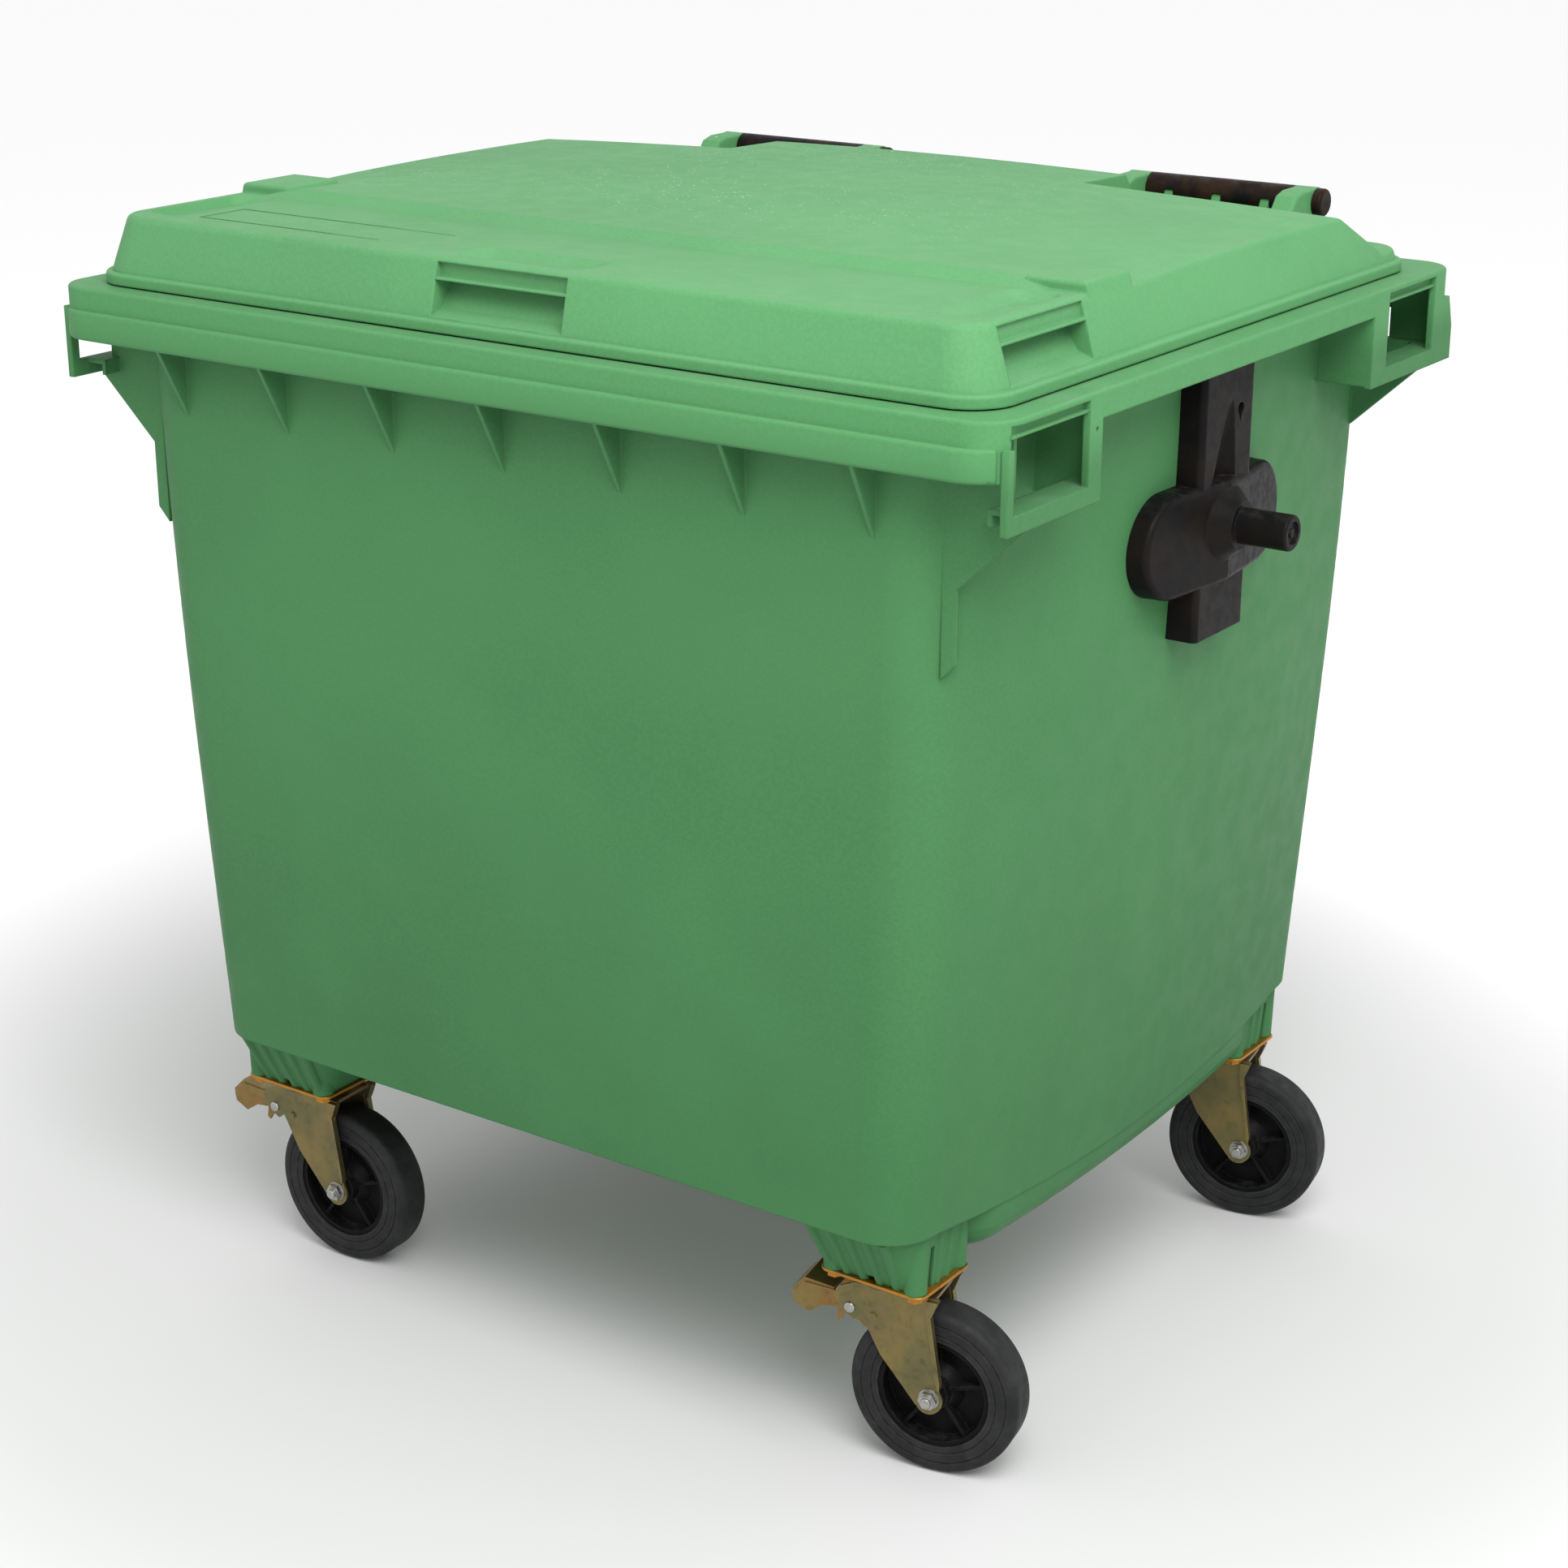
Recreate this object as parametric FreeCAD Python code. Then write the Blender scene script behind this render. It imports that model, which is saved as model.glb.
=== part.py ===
import FreeCAD, Part
import math
import os
from FreeCAD import Vector

# Four-wheeled 1100 litre waste container with a flat hinged lid.
# Millimetres. The pieces are drawn about the middle of the tub, and at the end everything moves
# TUB_AHEAD towards the front, so that the origin is on the floor under the middle of the whole.
# +X is the side with the visible lifting trunnion, -Y the front, +Y the hinge side, +Z up.

# ---------------------------------------------------------------- driving dimensions
TUB_AHEAD = 9.0               # the hinges reach further back than the rim reaches forward
WALL = 6.0                    # moulded wall of the container
RIM_TOP = 1235.0              # flat top of the rim
RIM_HALF_X = 635.0            # outer half width of the rim
RIM_HALF_Y = 524.0            # outer half depth of the rim's upper band
BAND_PROUD = 6.0              # the lower band of the rim stands this far outside the upper one
BAND_TOP = 1207.0
BAND_BOTTOM = 1175.0
BAND_END_Y = 511.0            # the lower band ends here, at the pockets in the rim's corners
RIM_CORNER = 45.0
POCKET_LOW = 1124.0           # underside of the four lifting pockets
POCKET_T = 8.0                # thickness of a pocket's face
POCKET_SILL = 1143.0          # lower edge of a pocket's opening
POCKET_HEAD = 1229.0          # its upper edge, level with the rim's ceiling
SILL_DEPTH = 35.0             # the sill reaches this far inwards
# pockets: both ends of the face and both ends of its opening, in y
POCKETS = [(-513.0, -330.0, -497.0, -356.0), (294.0, 513.0, 332.0, 460.0)]
PLATE_FRONT_Y = -508.0        # the front pockets' plates end here
PLATE_TURN_Y = -485.0         # from here forwards only the plate is left below the rim
GUSSETS_Y = [-458.0, 436.0]
GUSSET_T = 6.0
WEB_OUT = 612.0               # the front gussets run up inside the pockets, out to here
CREASE_Z = 312.0              # where the walls turn under
CREASE_DIP = 20.0             # the crease drops this much in the middle of each side
SIDE_RADIUS = 3600.0          # the two side walls bow outwards on this radius
SIDE_BOW = 24.0               # and stand this much prouder in the middle than at the corners
# height, half width at the corners, half depth, corner radius
TUB_LEVELS = [(280.0, 508.0, 469.0, 60.0), (500.0, 522.0, 475.0, 62.0),
              (700.0, 535.0, 479.0, 64.0), (1235.0, 553.0, 484.0, 66.0)]
BELLY_Z = 240.0               # underside of the belly between the front and rear casters
BELLY_HALF_Y = 335.0
BELLY_ROUND = 48.0

LID_BASE = 1237.0             # underside of the closed lid's edge
LID_WALL = 5.0
LID_HALF_X = 604.0
LID_FRONT = -497.0
LID_REAR = 469.0
FRONT_BAND_TOP = 1313.0
STRIP_TOP = 1324.0
LOW_BAND_TOP = 1262.0
RISER_Y = -267.0
RISER_RUN = 20.0              # the riser slopes over this distance
STRIP_END_Y = -180.0
CROWN_TOP = 1333.0
CROWN_RADIUS = 9000.0
CROWN_Y = 100.0
RISER_TOP = 1323.5            # straight upper edge of the riser, which the crown runs into
FLATTEN_Y = -60.0             # from here forwards the crown changes into that straight edge
PAD_INNER_X = 505.0           # the two side pads behind the riser lie outside this

HINGE_Y = 530.0
HINGE_Z = 1290.0
HINGE_X = 316.0               # middle of each hinge
PIN_R = 9.0
GRIP_R = 18.0
EAR_WIDTH = 29.0
EAR_GAP = 198.0               # clear width between the two ears of one hinge
LUGS_X = [-66.0, 0.0, 66.0]   # the container's three lugs inside each grip
LUG_T = 12.0
LUG_R = 15.0
RUN = 0.05                    # radial clearance of a running fit

TRUNNION_Z = 1027.0
TRUNNION_R = 20.0
TRUNNION_TIP = 688.0
TRUNNION_ROOT = 628.0         # square shoulder of the flare, where the free length of the pin starts
BRACKET_MID = 1018.0          # height of the middle of the bracket's oval boss
BOSS_ROOF = [(540, -170), (593, -170), (613, 0), (593, 170), (540, 170), (540, -170)]
TONGUE_FACE = 606.0           # outer face of the bracket's two tongues
TRUNNION_BOLT_R = 4.0

CASTER_X = 436.0
CASTER_Y = 374.0
PLATE_TOP = 238.0
PLATE_T = 4.0
BOLT_X = 52.5                 # half of the 105 x 80 mm hole pattern
BOLT_Y = 40.0
BOLT_R = 5.0
WHEEL_R = 100.0
TRAIL = 56.0                  # from the swivel axis back to the axle
FORK_GAP = 58.0               # between the fork's two side plates
FORK_T = 4.0
AXLE_R = 6.0
# name, sign of x, sign of y, angle of the trail from +X towards +Y, braked
CASTERS = [("front_left", -1, -1, 2.6, True), ("front_right", 1, -1, 10.9, True),
           ("rear_left", -1, 1, 6.0, False), ("rear_right", 1, 1, 9.9, False)]

# lid grip recesses: half width, and the heights of the scoop, the ledge and the finger band
SCOOP_LOW = 1251.0
LEDGE_LOW = 1289.5
LEDGE_TOP = 1292.5
BAND_HIGH = 1308.0
DISH_DEEP = 9.0
DISH_REAR = -392.0            # far edge of the front thumb dish

X_AXIS = Vector(1, 0, 0)
Y_AXIS = Vector(0, 1, 0)
Z_AXIS = Vector(0, 0, 1)


# ---------------------------------------------------------------- small helpers
def box(x0, x1, y0, y1, z0, z1):
    return Part.makeBox(x1 - x0, y1 - y0, z1 - z0, Vector(x0, y0, z0))


def rod(radius, start, end):
    """Solid cylinder from one point to another."""
    a = Vector(*start)
    d = Vector(*end) - a
    return Part.makeCylinder(radius, d.Length, a, d)


def cone(r0, r1, start, end):
    a = Vector(*start)
    d = Vector(*end) - a
    return Part.makeCone(r0, r1, d.Length, a, d)


def fuse(shapes):
    """One clean solid out of several that touch or overlap."""
    result = shapes[0]
    if len(shapes) > 1:
        result = shapes[0].multiFuse(shapes[1:])
    return result.removeSplitter()


def cut(shape, tools):
    return shape.cut(Part.makeCompound(tools))


def rectangle(x0, x1, y0, y1, r, z):
    """Closed wire of a rectangle with rounded corners, at height z."""
    corners = [(x1 - r, y0 + r, -90), (x1 - r, y1 - r, 0), (x0 + r, y1 - r, 90), (x0 + r, y0 + r, 180)]
    ends = []
    edges = []
    for cx, cy, start in corners:
        arc = []
        for angle in (start, start + 45, start + 90):
            a = math.radians(angle)
            arc.append(Vector(cx + r * math.cos(a), cy + r * math.sin(a), z))
        ends.append(arc)
    for i, arc in enumerate(ends):
        previous = ends[i - 1]
        edges.append(Part.LineSegment(previous[2], arc[0]).toShape())
        edges.append(Part.Arc(*arc).toShape())
    return Part.Wire(edges)


def slab(x0, x1, y0, y1, r, z0, z1):
    return Part.Face(rectangle(x0, x1, y0, y1, r, z0)).extrude(Vector(0, 0, z1 - z0))


def profile(points, plane, low, high):
    """Polygon drawn in the yz or xz plane, extruded along the third axis from low to high."""
    if plane == "yz":
        corners = [Vector(low, a, b) for a, b in points]
        along = Vector(high - low, 0, 0)
    else:
        corners = [Vector(a, low, b) for a, b in points]
        along = Vector(0, high - low, 0)
    return Part.Face(Part.makePolygon(corners + corners[:1])).extrude(along)


def mirror_x(shape):
    return shape.mirror(Vector(0, 0, 0), X_AXIS)


def mirror_y(shape):
    return shape.mirror(Vector(0, 0, 0), Y_AXIS)


def four_ways(shape):
    """The shape, and its mirror images about the two vertical middle planes."""
    pair = [shape, mirror_x(shape)]
    return pair + [mirror_y(s) for s in pair]


def round_edges(shape, radius, wanted):
    """Fillet the edges whose middle point passes the test; the shape stays sharp if it can't be done."""
    edges = [e for e in shape.Edges if wanted(e.valueAt((e.FirstParameter + e.LastParameter) / 2))]
    try:
        rounded = shape.makeFillet(radius, edges)
    except Exception:
        return shape
    if rounded.isValid() and abs(rounded.Volume) > 0:
        return rounded
    return shape


# ---------------------------------------------------------------- container
def bowed_wire(z, middle, half_y, r):
    """Rounded rectangle whose two long sides in y are arcs of SIDE_RADIUS, all tangent."""
    centre_x = middle - SIDE_RADIUS
    fy = half_y - r
    fx = centre_x + math.sqrt((SIDE_RADIUS - r) ** 2 - fy ** 2)
    turn = math.asin(fy / (SIDE_RADIUS - r))
    quarter = []
    for angle in (-math.pi / 2, -(math.pi / 2 + turn) / 2, -turn):
        quarter.append((fx + r * math.cos(angle), -fy + r * math.sin(angle)))
    right = quarter + [(middle, 0)] + [(x, -y) for x, y in reversed(quarter)]
    left = [(-x, -y) for x, y in right]
    p = [Vector(x, y, z) for x, y in right + left]
    edges = []
    for half in (0, 7):
        a = p[half:half + 7]
        after = p[(half + 7) % 14]
        edges += [Part.Arc(a[0], a[1], a[2]).toShape(), Part.Arc(a[2], a[3], a[4]).toShape(),
                  Part.Arc(a[4], a[5], a[6]).toShape(), Part.LineSegment(a[6], after).toShape()]
    return Part.Wire(edges)


def tub(inset):
    """The tapered tub without its underside; inset moves every wall inwards."""
    wires = []
    for z, half_x, half_y, r in TUB_LEVELS:
        wires.append(bowed_wire(z, half_x + SIDE_BOW - inset, half_y - inset, r - inset))
    return Part.makeLoft(wires, True, False)


def above_crease(lift):
    """Everything over the crease: flat at the corners, dipping in the middle of the sides."""
    low = CREASE_Z + lift
    far = 700
    half = 400
    points = [Vector(-far, -far, low), Vector(-far, -half, low), Vector(-far, half, low),
              Vector(-far, far, low), Vector(-far, far, RIM_TOP), Vector(-far, -far, RIM_TOP)]
    dip = Part.Arc(points[1], Vector(-far, 0, low - CREASE_DIP), points[2]).toShape()
    edges = [Part.LineSegment(points[0], points[1]).toShape(), dip]
    for i in range(2, 6):
        edges.append(Part.LineSegment(points[i], points[(i + 1) % 6]).toShape())
    return Part.Face(Part.Wire(edges)).extrude(Vector(2 * far, 0, 0))


def belly(inset):
    """The deeper middle of the floor, with its rounded underside."""
    side = TUB_LEVELS[0][1] + SIDE_BOW - 1.0 - inset
    half_y = BELLY_HALF_Y - inset
    bottom = BELLY_Z + inset
    wires = [bowed_wire(CREASE_Z + 6, side + 1.5, half_y, 50)]
    for step in range(7):
        angle = math.radians(15 * step)
        pulled = BELLY_ROUND * (1 - math.cos(angle))
        z = bottom + BELLY_ROUND * (1 - math.sin(angle))
        wires.append(bowed_wire(z, side - pulled, half_y - pulled, 50 - 0.6 * pulled))
    return Part.makeLoft(wires, True, True)


def rim():
    """Upper and lower bands of the rim, hollow underneath like the real channel."""
    hx, hy = RIM_HALF_X, RIM_HALF_Y
    upper = slab(-hx, hx, -hy, hy, RIM_CORNER, BAND_TOP, RIM_TOP)
    upper = round_edges(upper, 4, lambda p: p.z > RIM_TOP - 0.1)
    by = hy + BAND_PROUD
    lower = slab(-hx, hx, -by, by, RIM_CORNER + 5, BAND_BOTTOM, BAND_TOP + 2)
    lower = round_edges(lower, 4, lambda p: p.z > BAND_TOP + 1 or p.z < BAND_BOTTOM + 1)
    lower = lower.cut(box(-hx - 5, hx + 5, -BAND_END_Y, BAND_END_Y, BAND_BOTTOM - 5, BAND_TOP + 5))
    channel = slab(-hx + 5, hx - 5, -hy + 4, hy - 4, RIM_CORNER - 5, BAND_BOTTOM - 5, RIM_TOP - WALL)
    return fuse([upper, lower]).cut(channel)


def rim_outline(inset, low, high):
    """Block of the rim's outline, with every side moved inwards."""
    hx, hy = RIM_HALF_X - inset, RIM_HALF_Y - inset
    return slab(-hx, hx, -hy, hy, max(RIM_CORNER - inset, 4), low, high)


def pocket(y0, y1):
    """Face and hollow sill of one lifting pocket on the +X side."""
    reach = box(560, RIM_HALF_X + 5, y0, y1, POCKET_LOW, RIM_TOP - 3)
    face = rim_outline(0, POCKET_LOW, RIM_TOP - 3)
    face = face.cut(rim_outline(POCKET_T, POCKET_LOW - 1, RIM_TOP))
    sill = rim_outline(1, POCKET_LOW + 2, POCKET_SILL)
    sill = sill.cut(rim_outline(SILL_DEPTH, POCKET_LOW, POCKET_SILL + 1))
    under = rim_outline(POCKET_T, POCKET_LOW, POCKET_SILL - 5)
    sill = sill.cut(under.cut(rim_outline(SILL_DEPTH - 5, POCKET_LOW - 1, POCKET_SILL)))
    if y0 > 0:
        return [face.common(reach), sill.common(reach)]
    # the front ones don't turn round the corner: their plate runs on flat, open behind
    corner = box(550, RIM_HALF_X - POCKET_T, y0 - 5, PLATE_TURN_Y, POCKET_LOW - 1, BAND_BOTTOM)
    plate = box(RIM_HALF_X - POCKET_T, RIM_HALF_X, PLATE_FRONT_Y, PLATE_TURN_Y + 1, POCKET_LOW, BAND_TOP)
    return [face.common(reach).cut(corner), sill.common(reach).cut(corner), plate]


def pocket_opening(open0, open1):
    return box(590, RIM_HALF_X + 5, open0, open1, POCKET_SILL, POCKET_HEAD)


def pocket_head(open0, open1):
    """Set-back face at the top of a pocket's opening, with a thin ledge under it."""
    back = box(622, 628, open0 - 2, open1 + 2, 1217, POCKET_HEAD + 2)
    ledge = box(622, RIM_HALF_X - 2, open0 - 2, open1 + 2, 1217, 1220)
    return [back, ledge]


def pocket_horn():
    """The rear pocket's lower rear corner, squared off and standing out past the rim's corner."""
    face = profile([(470, POCKET_LOW), (515, POCKET_LOW), (515, 1163), (503, 1200), (470, 1200)],
                   "yz", RIM_HALF_X - POCKET_T, RIM_HALF_X)
    end = box(600, RIM_HALF_X, 509, 515, POCKET_LOW, 1163)
    return fuse([face, end])


def gusset(y, front):
    """Bracing web under a pocket; the front ones reach the rim's ceiling and run down the wall as a rib."""
    foot = [(535, 1036)]
    head = [(535, 1138), (600, 1138)]
    if front:
        foot = [(551, 972), (535, 955)]
        head = [(535, RIM_TOP - 4), (WEB_OUT, RIM_TOP - 4), (WEB_OUT, 1138)]
    tip = [(RIM_HALF_X - POCKET_T + 1, POCKET_LOW + 4), (RIM_HALF_X - 2, POCKET_LOW + 1), (551, 1049)]
    return profile(head + tip + foot, "xz", y - GUSSET_T / 2, y + GUSSET_T / 2)


def front_rib(x, thick=5.0):
    """Small bracing web under the front lip of the rim."""
    points = [(-470, POCKET_HEAD), (-RIM_HALF_Y + 1, POCKET_HEAD), (-RIM_HALF_Y - 1, BAND_BOTTOM + 1),
              (-480.5, 1088), (-470, 1088)]
    return profile(points, "yz", x - thick / 2, x + thick / 2)


def skirt(x, y):
    """Tapered box over one caster plate, fluted outside; drawn for the corner where x, y > 0."""
    top = rectangle(x - 98, x + 66, y - 78, y + 84, 46, CREASE_Z + 2)
    bottom = rectangle(x - 62, x + 60, y - 48, y + 46, 20, PLATE_TOP)
    outer = Part.makeLoft([bottom, top], True, True)
    top = rectangle(x - 92, x + 60, y - 72, y + 78, 40, CREASE_Z + 3)
    bottom = rectangle(x - 57, x + 55, y - 43, y + 41, 15, PLATE_TOP - 1)
    shell = outer.cut(Part.makeLoft([bottom, top], True, True))
    pieces = [shell]
    for dx in (-BOLT_X, BOLT_X):
        for dy in (-BOLT_Y, BOLT_Y):
            pieces.append(cone(13, 15, (x + dx, y + dy, PLATE_TOP), (x + dx, y + dy, CREASE_Z + 2)))
    for at_bottom, at_top in ((-52, -62), (-32, -36), (-11, -12), (11, 12), (32, 36)):
        pieces.append(cone(6, 8, (x + at_bottom, y + 43, PLATE_TOP), (x + at_top, y + 79, CREASE_Z)))
    for at_bottom, at_top in ((-33, -38), (-11, -13), (8, 9)):
        pieces.append(cone(5.5, 7, (x + 57, y + at_bottom, PLATE_TOP), (x + 62, y + at_top, CREASE_Z)))
    whole = fuse(pieces)
    slot = box(x + 40, x + 90, y + 20, y + 28, PLATE_TOP - 1, 290)
    arch = box(x - 5, x + 5, y + 30, y + 70, PLATE_TOP - 1, PLATE_TOP + 8)
    under = box(x - 80, x + 80, y - 65, y + 65, PLATE_TOP - 15, PLATE_TOP)
    bores = [rod(BOLT_R + 0.3, (x + dx, y + dy, PLATE_TOP - 1), (x + dx, y + dy, CREASE_Z + 20))
             for dx in (-BOLT_X, BOLT_X) for dy in (-BOLT_Y, BOLT_Y)]
    return whole, [slot, arch, under] + bores


def hinge_lug(x):
    """Upright eye on the rear rim that carries the hinge pin."""
    foot = RIM_TOP - 8
    web = profile([(486, foot), (529, foot), (HINGE_Y + LUG_R, HINGE_Z), (HINGE_Y - LUG_R, HINGE_Z + 1)],
                  "yz", x - LUG_T / 2, x + LUG_T / 2)
    eye = hinge_bore(x - LUG_T / 2, x + LUG_T / 2, LUG_R)
    return fuse([web, eye])


def hinge_bore(x0, x1, radius):
    return rod(radius, (x0, HINGE_Y, HINGE_Z), (x1, HINGE_Y, HINGE_Z))


def container():
    walls = tub(0).common(above_crease(0))
    pieces = [walls, belly(0)]
    frame = [rim(), pocket_horn(), mirror_x(pocket_horn())]
    openings = []
    heads = []
    for y0, y1, open0, open1 in POCKETS:
        frame += pocket(y0, y1) + [mirror_x(s) for s in pocket(y0, y1)]
        hole = pocket_opening(open0, open1)
        openings += [hole, mirror_x(hole)]
        heads += pocket_head(open0, open1) + [mirror_x(s) for s in pocket_head(open0, open1)]
        for y, outer in ((y0 + 3, RIM_HALF_X - 4), (y1 - 3, RIM_HALF_X - 4 if y0 < 0 else 620)):
            if y > PLATE_TURN_Y:
                web = box(560, outer, y - 3, y + 3, POCKET_LOW + 2, RIM_TOP - 2)
                frame += [web, mirror_x(web)]
    keeper = rod(2.4, (RIM_HALF_X - 14, -341, 1198), (RIM_HALF_X + 1, -341, 1198))
    pieces += [fuse(frame).cut(Part.makeCompound(openings + [keeper, mirror_x(keeper)]))] + heads
    for y in GUSSETS_Y:
        pieces += [gusset(y, y < 0), mirror_x(gusset(y, y < 0))]
    for x in (0, 156, 313, 469):
        pieces.append(front_rib(x))
        pieces.append(mirror_y(front_rib(x)))
        if x:
            pieces.append(front_rib(-x))
            pieces.append(mirror_y(front_rib(-x)))
    corner, tools = skirt(CASTER_X, CASTER_Y)
    pieces += four_ways(corner)
    for side in (-1, 1):
        for dx in LUGS_X:
            pieces.append(hinge_lug(side * HINGE_X + dx))
    body = fuse(pieces)
    inner = tub(WALL).common(above_crease(WALL))
    top_x, top_y = TUB_LEVELS[-1][1:3]
    mouth = Part.Face(bowed_wire(RIM_TOP - 30, top_x + SIDE_BOW - WALL - 1, top_y - WALL, 60))
    mouth = mouth.extrude(Vector(0, 0, 40))
    hollow = [inner, belly(WALL), mouth]
    for tool in tools:
        hollow += four_ways(tool)
    for side in (-1, 1):
        hollow.append(hinge_bore(side * HINGE_X - 110, side * HINGE_X + 110, PIN_R + RUN))
        for y, z in TRUNNION_BOLTS:
            hollow.append(rod(TRUNNION_BOLT_R + 0.3, (side * 530, y, z), (side * 600, y, z)))
    hollow.append(rod(24.5, (0, 0, BELLY_Z - 5), (0, 0, BELLY_Z + 20)))
    return body.cut(Part.makeCompound(hollow))


# ---------------------------------------------------------------- trunnion brackets
TRUNNION_BOLTS = [(-100.0, 1018.0), (100.0, 1018.0), (-30.0, 935.0), (30.0, 935.0)]


def stadium(half_length, r, z_mid, x):
    """Closed wire in a plane of constant x: two half circles joined by straight lines."""
    c = half_length - r
    p = [Vector(x, -c, z_mid - r), Vector(x, c, z_mid - r), Vector(x, c + r, z_mid),
         Vector(x, c, z_mid + r), Vector(x, -c, z_mid + r), Vector(x, -c - r, z_mid)]
    return Part.Wire([Part.LineSegment(p[0], p[1]).toShape(), Part.Arc(p[1], p[2], p[3]).toShape(),
                      Part.LineSegment(p[3], p[4]).toShape(), Part.Arc(p[4], p[5], p[0]).toShape()])


def trunnion_bracket():
    """Black lifting bracket of the +X side: oval boss, two tongues and the Ø40 pin."""
    boss = Part.makeLoft([stadium(156, 58, BRACKET_MID, 555), stadium(150, 56, BRACKET_MID, 640)], True, True)
    roof = [Vector(x, y, BRACKET_MID - 118) for x, y in BOSS_ROOF]
    boss = boss.common(Part.Face(Part.makePolygon(roof)).extrude(Vector(0, 0, 240)))
    boss = round_edges(boss, 7, lambda p: p.x > 591 and abs(p.y) > 1)
    upper = slab(540, TONGUE_FACE, -58, 58, 7, 1060, 1226)
    lower = slab(540, TONGUE_FACE, -56, 56, 7, 903, 1000)
    scoop = cone(2, 30, (616, 8, 1196), (613, -8, 1066))
    key = [rod(7, (590, 26, 1148), (620, 26, 1148)),
           profile([(19.4, 1149), (32.6, 1149), (26, 1132)], "yz", 590, 620)]
    tongues = cut(fuse([upper, lower]), [scoop] + key)
    flare = cone(48, 27, (604, 0, TRUNNION_Z), (TRUNNION_ROOT, 0, TRUNNION_Z))
    pin = rod(TRUNNION_R, (600, 0, TRUNNION_Z), (TRUNNION_TIP, 0, TRUNNION_Z))
    pin = round_edges(pin, 3, lambda p: p.x > TRUNNION_TIP - 0.1)
    dimple = rod(13, (TRUNNION_TIP - 3, 0, TRUNNION_Z), (TRUNNION_TIP + 1, 0, TRUNNION_Z))
    nub = rod(5, (TRUNNION_TIP - 4, 0, TRUNNION_Z), (TRUNNION_TIP - 1, 0, TRUNNION_Z))
    solid = fuse([fuse([boss, tongues, flare, pin]).cut(dimple), nub])
    holes = [rod(TRUNNION_BOLT_R + 0.3, (540, y, z), (588, y, z)) for y, z in TRUNNION_BOLTS]
    outside = tub(-0.2)
    return solid.cut(outside).cut(rim()).cut(Part.makeCompound(holes))


def trunnion_bolts():
    """Hex bolts driven from inside the container into the brackets."""
    bolts = []
    for y, z in TRUNNION_BOLTS:
        wall = side_wall_x(y, z) - WALL
        head = hex_prism(13, (wall - 5.6, y, z), (wall - 0.1, y, z))
        shank = rod(TRUNNION_BOLT_R, (wall - 1, y, z), (585, y, z))
        bolts.append(fuse([head, shank]))
    return Part.makeCompound(bolts + [mirror_x(b) for b in bolts])


def side_wall_x(y, z):
    """Outside of the +X wall, by straight steps between the levels."""
    for low, high in zip(TUB_LEVELS, TUB_LEVELS[1:]):
        if z <= high[0]:
            break
    share = (z - low[0]) / (high[0] - low[0])
    middle = low[1] + share * (high[1] - low[1]) + SIDE_BOW
    return middle - y * y / (2 * SIDE_RADIUS)


def hexagon(across):
    """Hexagonal face about the origin, across its flats."""
    radius = across / math.sqrt(3)
    points = [Vector(radius * math.cos(math.radians(60 * i)), radius * math.sin(math.radians(60 * i)), 0)
              for i in range(7)]
    return Part.Face(Part.makePolygon(points))


# ---------------------------------------------------------------- lid
def lid_slopes(t):
    """Tapered block that gives the lid's sloping outside walls."""
    wires = [rectangle(-596 + t, 596 - t, -490 + t, 463 - t, 46 - t, LID_BASE - 2),
             rectangle(-596 + t, 596 - t, -490 + t, 463 - t, 46 - t, 1252),
             rectangle(-567 + t, 567 - t, -466 + t, 440 - t, 40 - t, 1350)]
    return Part.makeLoft(wires, True, True)


def crown_height(x, y):
    """Top of the lid's high part: a shallow dome that flattens towards the riser."""
    dome = CROWN_TOP - (x * x + (y - CROWN_Y) ** 2) / (2 * CROWN_RADIUS)
    share = min(max((FLATTEN_Y - y) / (FLATTEN_Y - RISER_Y), 0), 1)
    share = share * share * (3 - 2 * share)
    side = min(max((560 - abs(x)) / 90, 0), 1)
    return dome + share * side * side * (3 - 2 * side) * (RISER_TOP - dome)


def crown_block(t):
    """Everything under the crown."""
    grid = []
    for i in range(25):
        x = -660 + 55 * i
        grid.append([Vector(x, y, crown_height(x, y) - t) for y in range(-330, 481, 45)])
    surface = Part.BSplineSurface()
    surface.interpolate(grid)
    return surface.toShape().extrude(Vector(0, 0, -120))


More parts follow.
